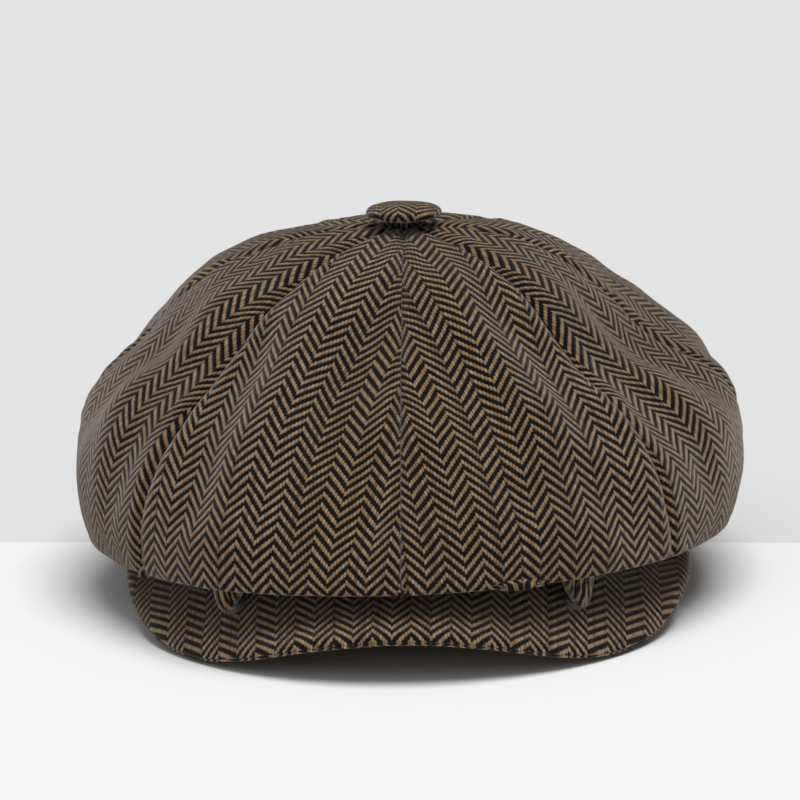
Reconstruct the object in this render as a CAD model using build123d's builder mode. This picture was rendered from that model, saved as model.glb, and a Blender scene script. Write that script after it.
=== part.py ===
"""Newsboy cap: an eight-panel tweed crown, lined and sewn to a band, with a bowed peak and press studs.

Millimetres and degrees. +Z is up and the cap faces -Y. The origin is on the surface that the cap stands
on, under the button. The wearer's left is +X. The back edge of the band and both sides of the peak stand
on the surface.
"""
from build123d import *
import os
from math import atan2, cos, degrees, radians, sin, sqrt

os.makedirs("parts", exist_ok=True)

# ---- Driving dimensions -------------------------------------------------------------------------
head_length = 203          # inside of the sweatband, front to back
head_width = 165           # inside of the sweatband, side to side
head_set_back = 8          # the opening's centre lies this far behind the button
opening_tilt = 10          # the opening rises towards the front

sweatband_thickness = 1.0
sweatband_height = 36
sweatband_lift = 1         # the sweatband starts this far above the band's lower edge
stiffener_thickness = 1.2
stiffener_margin = 1.5     # the stiffener stops this far inside each edge of the band
band_height = 34
cloth = 2.0                # tweed with its backing
lining_thickness = 0.6

layer_gap = 0.1            # between layers sewn together
move_gap = 0.3             # between curved faces of pieces that move apart
seam_gap = 0.4             # between neighbouring panels

crown_width = 284
crown_front = 140          # reach of the crown ahead of the button
crown_back = 145           # reach of the crown behind the button
crown_top = 155            # cloth under the button
widest_height = 60         # height where the crown is widest
tuck = 0.006               # how fast the crown's wall turns in below its widest height
lip_front_height = 31      # fold at the front
lip_back_height = 14       # fold at the back
lip_fold = 5               # width of the fold's rounded edge
front_bow = 1.3            # how flat the front is near the button
front_round = 0.625        # and how round towards the fold
collar_height = 25         # the crown is sewn on this far up the band
underside_drop = 22        # the underside falls this far from the band's top before it turns out
underside_step = 9         # and stands this far off the band there

front_seam = 52            # seams round the crown, measured from the front
side_seam = 95
back_seam = 137

peak_reach = 146           # front edge ahead of the button
peak_width = 236
peak_horn_line = 40        # the outline is widest here, ahead of the button
peak_horn_length = 38      # and turns in to the band over this length behind it
peak_cover = 1.5
peak_board_thickness = 1.8
board_inset = 2.0          # the board stops this far inside the covers' edge

stud_x = 68                # press studs, either side of the middle
stud_ahead = 104           # and ahead of the button
stud_diameter = 9.5
stud_plate = 0.8
stud_post_radius = 1.3
stud_post_height = 1.0
socket_thickness = 1.8
socket_bore_radius = 2.0
socket_gap = 0.15          # between a stud's plate and its socket
socket_cap = 0.5           # closed top of the socket
spring_wire = 0.4
spring_length = 4.2
spring_play = 0.05         # round each wire in its slot
spring_gap = 0.25          # between a wire and the stud's post

button_diameter = 32
button_crown = 5.0         # rise of the button's domed top
button_stand = 3.0         # gap between the crown and the button's back
button_cloth = 1.0
shell_thickness = 0.6
shell_gap = 0.3            # between the shell and its cloth
back_plate = 0.8
prong_hole_radius = 3.3
prong_width = 1.6
prong_thickness = 0.5
prong_foot = 7.0
prong_spacing = 2.4

# ---- Derived places -----------------------------------------------------------------------------
sweat_outer = (head_width / 2 + sweatband_thickness, head_length / 2 + sweatband_thickness)
stiff_inner = tuple(half + layer_gap for half in sweat_outer)
stiff_outer = tuple(half + stiffener_thickness for half in stiff_inner)
band_inner = tuple(half + layer_gap for half in stiff_outer)
band_outer = tuple(half + cloth for half in band_inner)

tilt_sin = sin(radians(opening_tilt))
tilt_cos = cos(radians(opening_tilt))
opening = Plane(
    origin=(0, head_set_back, band_outer[1] * tilt_sin), x_dir=(1, 0, 0), z_dir=(0, tilt_sin, tilt_cos)
)

lip_slope = (lip_front_height - lip_back_height) / (crown_front + crown_back)
lip_middle = lip_back_height + lip_slope * crown_back
lip_angle = degrees(atan2(lip_slope, 1))
lip = Plane(
    origin=(0, 0, lip_middle),
    x_dir=(1, 0, 0),
    z_dir=(0, sin(radians(lip_angle)), cos(radians(lip_angle))),
)


def direction(azimuth, radius):
    """Point in plan at an azimuth measured from the front towards the wearer's left."""
    return (radius * sin(radians(azimuth)), -radius * cos(radians(azimuth)))


def tuck_in(height):
    """How far the crown's wall has turned in at a height below its widest."""
    return tuck * max(0, widest_height - height) ** 2


def round_reach(height, full):
    """Reach of the crown's sides and back at a height: a quarter ellipse above the widest height."""
    rise = min(1, max(0, (height - widest_height) / (crown_top - widest_height)))
    return full * sqrt(1 - rise**2) - tuck_in(height)


def front_reach(height):
    """Reach of the crown's front at a height: flat near the button and steep near the fold."""
    rise = min(1, max(0, (height - lip_front_height) / (crown_top - lip_front_height)))
    return crown_front * (1 - rise**front_bow) ** front_round


def dome_section(angle, inset):
    """Height, half width, centre and half length of the crown at one angle up its wall."""
    height = widest_height + (crown_top - widest_height) * sin(radians(angle))
    side = inset * cos(radians(angle))
    half_width = round_reach(height, crown_width / 2) - side
    ahead = front_reach(height) - side
    behind = round_reach(height, crown_back) - side
    return height - inset * sin(radians(max(0, angle))), half_width, (behind - ahead) / 2, (behind + ahead) / 2


dome_angles = (-36, -24, -12, 0, 14, 28, 42, 56, 68, 77, 84)


def dome(inset):
    """Solid inside the crown's wall, moved in by a distance."""
    with BuildPart() as body:
        for angle in dome_angles:
            height, half_width, centre, half_length = dome_section(angle, inset)
            with BuildSketch(Plane.XY.offset(height)):
                with Locations((0, centre)):
                    Ellipse(half_width, half_length)
        loft()
    return body.part


def skirt(grow):
    """Solid below the turned-out part of the underside, from the fold in to the step round the band."""
    reach = crown_width / 2 - tuck_in(lip_middle) - lip_fold + grow
    ahead = crown_front - lip_fold + grow
    behind = crown_back - tuck_in(lip_back_height) - lip_fold + grow
    with BuildPart() as body:
        with BuildSketch(lip.offset(-0.5)):
            with Locations((0, (behind - ahead) / 2)):
                Ellipse(reach, (behind + ahead) / 2)
        with BuildSketch(opening.offset(band_height - underside_drop)):
            Ellipse(band_outer[0] + underside_step + grow, band_outer[1] + underside_step + grow)
        loft()
    return body.part


def collar(grow):
    """Solid inside the steep part of the underside, from the step up to where it meets the band."""
    with BuildPart() as body:
        with BuildSketch(opening.offset(band_height - underside_drop)):
            Ellipse(band_outer[0] + underside_step + grow, band_outer[1] + underside_step + grow)
        with BuildSketch(opening.offset(collar_height)):
            Ellipse(band_outer[0] + move_gap + grow, band_outer[1] + move_gap + grow)
        loft()
    return body.part


def wedge(start, end):
    """Tall prism between two azimuths, with half a seam gap left along each side."""
    middle = (start + end) / 2
    far = crown_width
    with BuildPart() as body:
        with BuildSketch(Plane.XY.offset(-10)):
            Polygon(
                (0, 0),
                direction(start, far),
                direction(middle, far / cos(radians((end - start) / 2))),
                direction(end, far),
                align=None,
            )
            offset(amount=-seam_gap / 2, kind=Kind.INTERSECTION)
        extrude(amount=crown_top + 30)
    return body.part


def oval_ring(inner, outer, bottom, top):
    """Ring that follows the head opening between two heights above its lower edge."""
    with BuildPart() as body:
        with BuildSketch(opening.offset(bottom)):
            Ellipse(*outer)
            Ellipse(*inner, mode=Mode.SUBTRACT)
        extrude(amount=top - bottom)
    return body.part


# ---- Band, stiffener and sweatband --------------------------------------------------------------
with BuildPart() as band:
    add(oval_ring(band_inner, band_outer, 0, band_height))

with BuildPart() as band_stiffener:
    add(oval_ring(stiff_inner, stiff_outer, stiffener_margin, band_height - stiffener_margin))

with BuildPart() as sweatband:
    add(oval_ring((head_width / 2, head_length / 2), sweat_outer, sweatband_lift, sweatband_height))

# ---- Peak: three bowed layers cut to one crescent ------------------------------------------------
# Each arch is (height of its crest, radius of its bow at the crest), at even steps ahead of the button.
arch_step = stud_ahead / 4
peak_arches = ((27.2, 600), (32.0, 480), (37.2, 300), (38.4, 192), (32.1, 140), (21.5, 112), (11.5, 102))
arch_half_width = 121


def arch_height(crest, radius, across):
    """Height of an arch, a parabola, at a distance from the middle."""
    return crest - across**2 / (2 * radius)


def half_oval(length, facing, inset):
    """Half of the peak's outline, ahead of its widest line or behind it, moved in by a distance."""
    with BuildSketch() as half:
        with Locations((0, -peak_horn_line)):
            Ellipse(peak_width / 2 - inset, length - inset)
        with Locations((0, -peak_horn_line - facing * peak_width / 2)):
            Rectangle(2 * peak_width, peak_width, mode=Mode.SUBTRACT)
    return half.sketch


def peak_layer(bottom, top, inset):
    """One layer of the peak between two heights above its underside, its outline moved in."""
    with BuildPart() as body:
        for step, (crest, radius) in enumerate(peak_arches):
            end = arch_height(crest, radius, arch_half_width)
            control = 2 * crest - end
            station = Plane(origin=(0, -step * arch_step, 0), x_dir=(1, 0, 0), z_dir=(0, -1, 0))
            with BuildSketch(station):
                with BuildLine():
                    Bezier(
                        (-arch_half_width, end + bottom), (0, control + bottom), (arch_half_width, end + bottom)
                    )
                    Line((arch_half_width, end + bottom), (arch_half_width, end + top))
                    Bezier((arch_half_width, end + top), (0, control + top), (-arch_half_width, end + top))
                    Line((-arch_half_width, end + top), (-arch_half_width, end + bottom))
                make_face()
        loft()
        with BuildSketch(Plane.XY.offset(-30)):
            add(half_oval(peak_reach - peak_horn_line, -1, inset))
            add(half_oval(peak_horn_length, 1, inset))
        extrude(amount=120, mode=Mode.INTERSECT)
        with BuildSketch(opening.offset(-60)):
            Ellipse(band_outer[0] + move_gap, band_outer[1] + move_gap)
        extrude(amount=140, mode=Mode.SUBTRACT)
    return body.part


board_bottom = peak_cover + layer_gap
board_top = board_bottom + peak_board_thickness
upper_bottom = board_top + layer_gap
peak_thickness = upper_bottom + peak_cover

with BuildPart() as peak_under:
    add(peak_layer(0, peak_cover, 0))

with BuildPart() as peak_board:
    add(peak_layer(board_bottom, board_top, board_inset))

# ---- Press studs: seated on the peak, square to its surface --------------------------------------
hinge_ahead = 4                      # the crown's front lifts about a line just ahead of its middle
hinge_height = crown_top
before, (stud_crest, stud_radius), after = peak_arches[3:6]
stud_height = arch_height(stud_crest, stud_radius, stud_x) + peak_thickness
fall_forward = (arch_height(*before, stud_x) - arch_height(*after, stud_x)) / (2 * arch_step)
fall_sideways = stud_x / stud_radius
seat_depth = 0.3                     # the plate presses this far into the cloth


def stud_plane(side, rise=0):
    """Plane on a stud's axis. Its X runs along the slide of the socket as the crown lifts off."""
    normal = Vector(side * fall_sideways, -fall_forward, 1).normalized()
    travel = Vector(0, -(hinge_height - stud_height), stud_ahead - hinge_ahead).normalized()
    slide = travel - normal * travel.dot(normal)
    seat = Vector(side * stud_x, -stud_ahead, stud_height) - normal * seat_depth
    return Plane(origin=seat + normal * rise, x_dir=slide, z_dir=normal)


socket_bottom = stud_plate + socket_gap
socket_top = socket_bottom + socket_thickness
spring_offset = stud_post_radius + spring_gap + spring_wire / 2
spring_height = socket_bottom + spring_wire + layer_gap

with BuildPart() as peak_upper:
    add(peak_layer(upper_bottom, peak_thickness, 0))
    for side in (-1, 1):
        with BuildSketch(stud_plane(side)):
            Circle(stud_diameter / 2 + layer_gap)
        extrude(amount=6, mode=Mode.SUBTRACT)

with BuildPart() as snap_studs:
    for side in (-1, 1):
        with BuildSketch(stud_plane(side)):
            Circle(stud_diameter / 2)
        extrude(amount=stud_plate)
        with BuildSketch(stud_plane(side, stud_plate)):
            Circle(stud_post_radius)
        extrude(amount=stud_post_height)

with BuildPart() as snap_sockets:
    for side in (-1, 1):
        with BuildSketch(stud_plane(side, socket_bottom)):
            Circle(stud_diameter / 2)
            Circle(socket_bore_radius, mode=Mode.SUBTRACT)
        extrude(amount=socket_thickness - socket_cap)
        with BuildSketch(stud_plane(side, socket_top - socket_cap)):
            Circle(stud_diameter / 2)
        extrude(amount=socket_cap)
        with BuildSketch(stud_plane(side, spring_height - spring_wire / 2 - spring_play)):
            with Locations((0, spring_offset), (0, -spring_offset)):
                Rectangle(spring_length + 4 * spring_play, spring_wire + 2 * spring_play)
        extrude(amount=spring_wire + 2 * spring_play, mode=Mode.SUBTRACT)

with BuildPart() as snap_springs:
    for side in (-1, 1):
        axis_plane = stud_plane(side, spring_height)
        for offset_across in (-spring_offset, spring_offset):
            middle = axis_plane.from_local_coords((-spring_length / 2, offset_across, 0))
            with BuildSketch(Plane(origin=middle, z_dir=axis_plane.x_dir)):
                Circle(spring_wire / 2)
            extrude(amount=spring_length)

# ---- Crown --------------------------------------------------------------------------------------
underside_lean = 1.6                 # sideways thickness of the sloping underside, in cloths
underside_offset = underside_lean * cloth
socket_dip = 11                      # the cloth is drawn down to each socket by this much

with BuildPart() as hollow:
    add(dome(cloth))
    split(bisect_by=lip.offset(cloth), keep=Keep.TOP)
    add(skirt(underside_offset), mode=Mode.SUBTRACT)
    add(collar(underside_offset), mode=Mode.SUBTRACT)

with BuildPart() as crown_shell:
    add(dome(0))
    split(bisect_by=lip, keep=Keep.TOP)
    add(skirt(0), mode=Mode.SUBTRACT)
    add(collar(0), mode=Mode.SUBTRACT)
    for side in (-1, 1):
        with BuildSketch(stud_plane(side, socket_top)):
            Circle(stud_diameter / 2)
        extrude(amount=socket_dip)
    add(hollow.part, mode=Mode.SUBTRACT)
    with BuildSketch(Plane.XY.offset(crown_top - 20)):
        Circle(prong_hole_radius)
    extrude(amount=40, mode=Mode.SUBTRACT)

panel_ends = {
    "crown_front": (0, front_seam),
    "crown_side_front": (front_seam, side_seam),
    "crown_side_back": (side_seam, back_seam),
    "crown_back": (back_seam, 180),
}
crown_panels = []
for stem, (start, end) in panel_ends.items():
    for side_name, (low, high) in {"left": (start, end), "right": (-end, -start)}.items():
        with BuildPart() as panel:
            add(crown_shell.part)
            add(wedge(low, high), mode=Mode.INTERSECT)
        panel.part.label = f"{stem}_{side_name}"
        crown_panels.append(panel.part)

# ---- Lining -------------------------------------------------------------------------------------
lining_clearance = 9                 # between the lining and the crown
lining_drop = 12                     # between the crown's cloth and the lining, under the button
lining_top = crown_top - cloth - lining_drop
lining_rise = (0.3, 0.55, 0.78, 0.92, 1.0)   # heights of its sections, as shares of its rise
lining_start = band_outer[1] * tilt_sin + band_height


def lining_dome(inset):
    """Solid inside the lining: it stands on the sweatband and follows the crown above the head."""
    start = opening.offset(sweatband_height + layer_gap)
    with BuildPart() as body:
        with BuildSketch(start.offset(-inset)):
            Ellipse(sweat_outer[0] - inset, sweat_outer[1] - inset)
        for rise in lining_rise:
            height = lining_start + (lining_top - lining_start) * rise
            above = height + lining_clearance
            reach = min(sweat_outer[0], round_reach(above, crown_width / 2) - lining_clearance)
            ahead = min(sweat_outer[1] - head_set_back, front_reach(above) - lining_clearance)
            behind = min(sweat_outer[1] + head_set_back, round_reach(above, crown_back) - lining_clearance)
            side = inset if rise < 1 else 2 * inset
            with BuildSketch(Plane.XY.offset(height - inset * rise)):
                with Locations((0, (behind - ahead) / 2)):
                    Ellipse(reach - side, (behind + ahead) / 2 - side)
        loft()
    return body.part


lining_gores = []
gore_names = {"front": (-45, 45), "left": (45, 135), "back": (135, 225), "right": (225, 315)}
for name, (low, high) in gore_names.items():
    with BuildPart() as gore:
        add(lining_dome(0))
        add(lining_dome(lining_thickness), mode=Mode.SUBTRACT)
        add(wedge(low, high), mode=Mode.INTERSECT)
    gore.part.label = f"lining_{name}"
    lining_gores.append(gore.part)

# ---- Button -------------------------------------------------------------------------------------
button_bottom = crown_top + button_stand
button_top = button_bottom + button_crown + button_cloth


def button_body(inset):
    """Domed disc, moved in on every side."""
    radius = button_diameter / 2 - inset
    bottom = button_bottom + inset
    top = button_top - inset
    rim = bottom + 0.4 * (top - bottom)
    with BuildPart() as body:
        with BuildSketch(Plane.XZ):
            with BuildLine():
                Line((0, bottom), (0, top))
                ThreePointArc((0, top), (0.6 * radius, top - 0.36 * (top - rim)), (radius, rim))
                Line((radius, rim), (0.92 * radius, bottom))
                Line((0.92 * radius, bottom), (0, bottom))
            make_face()
        revolve(axis=Axis.Z)
    return body.part


def disc(radius, bottom, height):
    """Flat disc on the button's axis."""
    with BuildPart() as body:
        with BuildSketch(Plane.XY.offset(bottom)):
            Circle(radius)
        extrude(amount=height)
    return body.part


plate_radius = 0.8 * button_diameter / 2
shell_rim = 2.2                      # the shell's open edge stands this far above the button's underside

with BuildPart() as button_cover:
    add(button_body(0))
    add(button_body(button_cloth), mode=Mode.SUBTRACT)
    add(disc(plate_radius + layer_gap, button_bottom - 1, 3), mode=Mode.SUBTRACT)

with BuildPart() as button_shell:
    add(button_body(button_cloth + shell_gap))
    add(button_body(button_cloth + shell_gap + shell_thickness), mode=Mode.SUBTRACT)
    add(disc(button_diameter, button_bottom - 1, 1 + shell_rim), mode=Mode.SUBTRACT)

with BuildPart() as button_back:
    add(disc(plate_radius, button_bottom, back_plate))

prong_bottom = crown_top - cloth - 1.6

with BuildPart() as button_fastener:
    with BuildSketch(Plane.XY.offset(prong_bottom)):
        with Locations((-prong_spacing / 2, 0), (prong_spacing / 2, 0)):
            Rectangle(prong_thickness, prong_width)
    extrude(amount=button_bottom - prong_bottom)
    with BuildSketch(Plane.XY.offset(prong_bottom)):
        for side in (-1, 1):
            with Locations((side * (prong_spacing - prong_thickness + prong_foot) / 2, 0)):
                Rectangle(prong_foot, prong_width)
    extrude(amount=prong_thickness)

# ---- Write the pieces ---------------------------------------------------------------------------
pieces = {
    "band": band.part,
    "band_stiffener": band_stiffener.part,
    "sweatband": sweatband.part,
    "peak_upper": peak_upper.part,
    "peak_board": peak_board.part,
    "peak_under": peak_under.part,
    "snap_studs": snap_studs.part,
    "snap_sockets": snap_sockets.part,
    "snap_springs": snap_springs.part,
    "button_cover": button_cover.part,
    "button_shell": button_shell.part,
    "button_back": button_back.part,
    "button_fastener": button_fastener.part,
}
for name, piece in pieces.items():
    piece.label = name

for piece in (*pieces.values(), *crown_panels, *lining_gores):
    export_step(piece, f"parts/{piece.label}.step")
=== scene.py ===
"""Herringbone tweed newsboy cap: cloth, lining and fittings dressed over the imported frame.

Sizes in the classes are millimetres and degrees; meshes are handed to Blender in metres. +Z is up, the
cap faces -Y and the wearer's left is +X. An azimuth is measured from the front towards +X, and "ahead"
is the distance in front of the button.
"""
import logging
from dataclasses import dataclass
from enum import Enum
from typing import Any, Dict, List, Optional, Sequence, Tuple

import bmesh
import bpy
import numpy as np
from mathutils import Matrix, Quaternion, Vector


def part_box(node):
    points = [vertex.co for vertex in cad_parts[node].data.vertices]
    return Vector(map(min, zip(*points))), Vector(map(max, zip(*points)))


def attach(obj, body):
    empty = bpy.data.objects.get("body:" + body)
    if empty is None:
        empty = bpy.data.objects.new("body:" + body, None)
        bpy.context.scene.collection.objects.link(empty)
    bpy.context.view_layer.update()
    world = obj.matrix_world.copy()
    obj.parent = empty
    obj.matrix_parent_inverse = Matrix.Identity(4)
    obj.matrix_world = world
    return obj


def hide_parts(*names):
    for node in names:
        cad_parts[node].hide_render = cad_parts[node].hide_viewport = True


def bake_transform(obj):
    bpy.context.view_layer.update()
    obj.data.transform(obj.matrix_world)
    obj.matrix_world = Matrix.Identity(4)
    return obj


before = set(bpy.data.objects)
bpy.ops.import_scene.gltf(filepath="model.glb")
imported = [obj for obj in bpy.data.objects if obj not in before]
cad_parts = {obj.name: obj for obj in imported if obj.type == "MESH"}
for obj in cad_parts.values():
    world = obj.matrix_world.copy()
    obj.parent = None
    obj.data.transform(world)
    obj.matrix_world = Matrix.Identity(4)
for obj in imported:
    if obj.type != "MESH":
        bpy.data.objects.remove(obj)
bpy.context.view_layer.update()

MM = 0.001
LOG = logging.getLogger("newsboy_cap")
Colour = Tuple[float, float, float]
Array = np.ndarray


# ---- Arithmetic on shader sockets ---------------------------------------------------------------
class Value:
    """A number socket of a shader that takes part in arithmetic."""

    def __init__(self, shader: "Shader", socket: bpy.types.NodeSocket) -> None:
        """Wraps one socket."""
        self.shader = shader
        self.socket = socket

    def maths(self, operation: str, *operands: Any) -> "Value":
        """Adds a Math node.

        Args:
            operation: The Math node's operation.
            operands: Its inputs in order, numbers or values.

        Returns:
            The node's result.
        """
        made = self.shader.node("ShaderNodeMath", {"operation": operation}, dict(enumerate(operands)))
        return Value(self.shader, made.outputs[0])

    def __add__(self, other: Any) -> "Value":
        """Sum."""
        return self.maths("ADD", self, other)

    def __radd__(self, other: Any) -> "Value":
        """Sum, from the right."""
        return self.maths("ADD", other, self)

    def __sub__(self, other: Any) -> "Value":
        """Difference."""
        return self.maths("SUBTRACT", self, other)

    def __rsub__(self, other: Any) -> "Value":
        """Difference, from the right."""
        return self.maths("SUBTRACT", other, self)

    def __mul__(self, other: Any) -> "Value":
        """Product."""
        return self.maths("MULTIPLY", self, other)

    def __rmul__(self, other: Any) -> "Value":
        """Product, from the right."""
        return self.maths("MULTIPLY", other, self)

    def __truediv__(self, other: Any) -> "Value":
        """Quotient."""
        return self.maths("DIVIDE", self, other)

    def floor(self) -> "Value":
        """Whole number below."""
        return self.maths("FLOOR", self)

    def fraction(self) -> "Value":
        """Part after the whole number below."""
        return self.maths("FRACT", self)

    def wrap(self, period: float) -> "Value":
        """Remainder that is never negative."""
        return self.maths("FLOORED_MODULO", self, period)

    def below(self, limit: Any) -> "Value":
        """One where this is less than the limit, otherwise nought."""
        return self.maths("LESS_THAN", self, limit)

    def size(self) -> "Value":
        """Value without its sign."""
        return self.maths("ABSOLUTE", self)

    def root(self) -> "Value":
        """Square root."""
        return self.maths("SQRT", self)

    def hump(self) -> "Value":
        """Parabola that is nought at 0 and 1 and one at a half."""
        return 4.0 * self * (1.0 - self)

    def choose(self, low: Any, high: Any) -> "Value":
        """Low where this is nought and high where it is one."""
        return low + self * (high - low)


class Shader:
    """One material's nodes, made through a single method."""

    def __init__(self, name: str) -> None:
        """Starts a material with its surface node."""
        self.material = bpy.data.materials.new(name)
        self.material.use_nodes = True
        self.tree = self.material.node_tree
        self.surface = self.tree.nodes["Principled BSDF"]

    def node(
        self,
        kind: str,
        settings: Optional[Dict[str, Any]] = None,
        inputs: Optional[Dict[Any, Any]] = None,
    ) -> bpy.types.Node:
        """Adds a node.

        Args:
            kind: The node's type.
            settings: Its own settings; "stops" is a ramp's list of positions and colours.
            inputs: Values or links of its sockets, by name or number.

        Returns:
            The node.
        """
        made = self.tree.nodes.new(kind)
        for key, setting in (settings or {}).items():
            if key == "stops":
                for index, (place, colour) in enumerate(setting):
                    elements = made.color_ramp.elements
                    element = elements[index] if index < 2 else elements.new(place)
                    element.position = place
                    element.color = (*colour, 1.0)
            else:
                setattr(made, key, setting)
        self.fill(made, inputs or {})
        return made

    def fill(self, made: bpy.types.Node, inputs: Dict[Any, Any]) -> None:
        """Sets or links a node's sockets.

        Args:
            made: The node.
            inputs: Values or links, by name or number.
        """
        for key, given in inputs.items():
            given = given.socket if isinstance(given, Value) else given
            if isinstance(given, bpy.types.NodeSocket):
                self.tree.links.new(given, made.inputs[key])
            else:
                made.inputs[key].default_value = given

    def cloth_place(self) -> Tuple[Value, Value, bpy.types.NodeSocket]:
        """Reads the place on the cloth.

        Returns:
            Millimetres across it, millimetres along it, and both as a vector.
        """
        place = self.tone(self.node("ShaderNodeUVMap", {"uv_map": "cloth"}).outputs[0], 1 / MM)
        parts = self.node("ShaderNodeSeparateXYZ", inputs={0: place})
        return Value(self, parts.outputs[0]), Value(self, parts.outputs[1]), place

    def solid_place(self) -> bpy.types.NodeSocket:
        """The place in the piece's own space, in metres."""
        return self.node("ShaderNodeTexCoord").outputs["Object"]

    def noise(self, place: Any, scale: float, detail: float = 2.0) -> Value:
        """Smooth noise around a half.

        Args:
            place: The vector it is read at.
            scale: Its scale.
            detail: Its octaves.

        Returns:
            The noise.
        """
        inputs = {"Vector": place, "Scale": scale, "Detail": detail}
        return Value(self, self.node("ShaderNodeTexNoise", inputs=inputs).outputs[0])

    def vector(self, x: Any, y: Any, z: Any = 0.0) -> bpy.types.NodeSocket:
        """Joins three numbers."""
        return self.node("ShaderNodeCombineXYZ", inputs={0: x, 1: y, 2: z}).outputs[0]

    def random(self, x: Any, y: Any = 0.0) -> Value:
        """A steady random number for each pair of whole numbers."""
        inputs = {"Vector": self.vector(x, y)}
        made = self.node("ShaderNodeTexWhiteNoise", {"noise_dimensions": "2D"}, inputs)
        return Value(self, made.outputs["Value"])

    def mix(self, factor: Any, low: Any, high: Any) -> bpy.types.NodeSocket:
        """Blends two colours."""
        low, high = ((*c, 1.0) if isinstance(c, tuple) and len(c) == 3 else c for c in (low, high))
        return self.node("ShaderNodeMix", {"data_type": "RGBA"}, {0: factor, 6: low, 7: high}).outputs[2]

    def ramp(self, factor: Value, stops: Sequence[Tuple[float, Colour]]) -> bpy.types.NodeSocket:
        """Colour picked along a row of stops."""
        return self.node("ShaderNodeValToRGB", {"stops": stops}, {0: factor}).outputs[0]

    def tone(self, colour: Any, share: Any) -> bpy.types.NodeSocket:
        """Multiplies a colour or a vector by a number."""
        inputs = {0: colour, 3: share}
        return self.node("ShaderNodeVectorMath", {"operation": "SCALE"}, inputs).outputs[0]

    def bump(self, height: Value, depth: float, strength: float = 1.0) -> bpy.types.NodeSocket:
        """Surface relief from a height of nought to one, its depth in millimetres."""
        inputs = {"Strength": strength, "Distance": depth * MM, "Height": height}
        return self.node("ShaderNodeBump", inputs=inputs).outputs[0]

    def done(self, **inputs: Any) -> bpy.types.Material:
        """Sets the surface's sockets.

        Args:
            inputs: Values by socket name, with underscores for spaces.

        Returns:
            The material.
        """
        self.fill(self.surface, {key.replace("_", " "): given for key, given in inputs.items()})
        return self.material


def linear(red: int, green: int, blue: int) -> Colour:
    """Linear colour of an 8-bit display colour.

    Args:
        red: Red, 0 to 255.
        green: Green, 0 to 255.
        blue: Blue, 0 to 255.

    Returns:
        The colour as linear numbers.
    """
    shares = (part / 255 for part in (red, green, blue))
    return tuple(s / 12.92 if s <= 0.04045 else ((s + 0.055) / 1.055) ** 2.4 for s in shares)


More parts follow.
